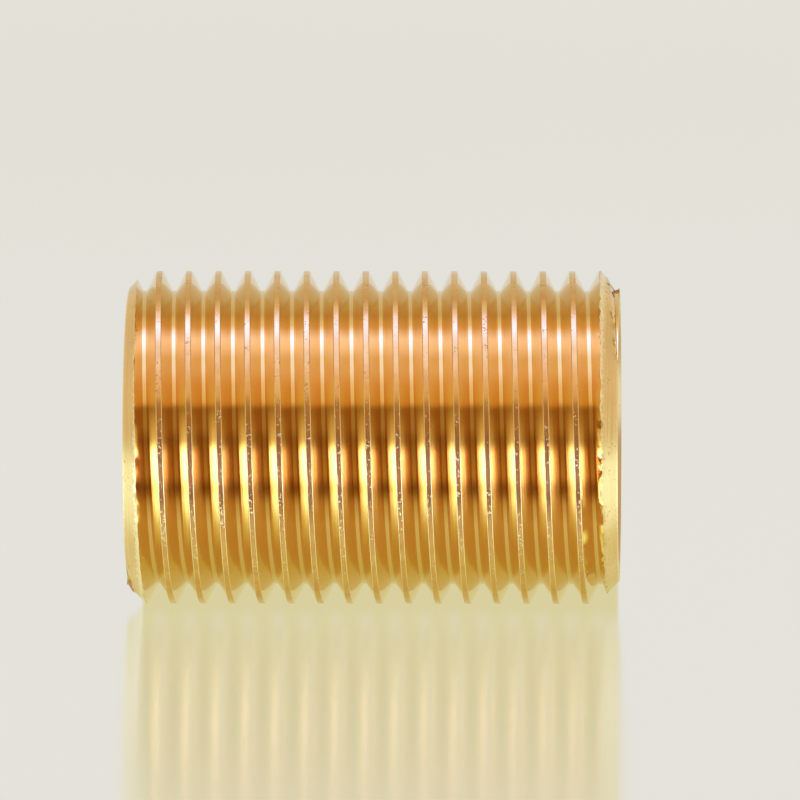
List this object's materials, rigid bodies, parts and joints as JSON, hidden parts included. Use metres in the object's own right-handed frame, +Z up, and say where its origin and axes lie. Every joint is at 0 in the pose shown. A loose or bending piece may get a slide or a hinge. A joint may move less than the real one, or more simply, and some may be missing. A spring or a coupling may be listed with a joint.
{
  "type": "threaded pipe nipple",
  "caption": "Straight brass pipe nipple with a parallel male thread along its whole length, a plain round through bore and chamfered ends.",
  "frame": {"origin": "on the bore axis, midway between the two end faces", "axes": "+X along the bore axis, +Z up with the part lying on its side"},
  "size_m": [0.0302, 0.0206, 0.0206],
  "materials": {
    "brass": "bright turned brass, thread flanks near mirror smooth, crests slightly torn by the die"
  },
  "bodies": {
    "root": {"nipple_body": "brass"}
  },
  "joints": []
}
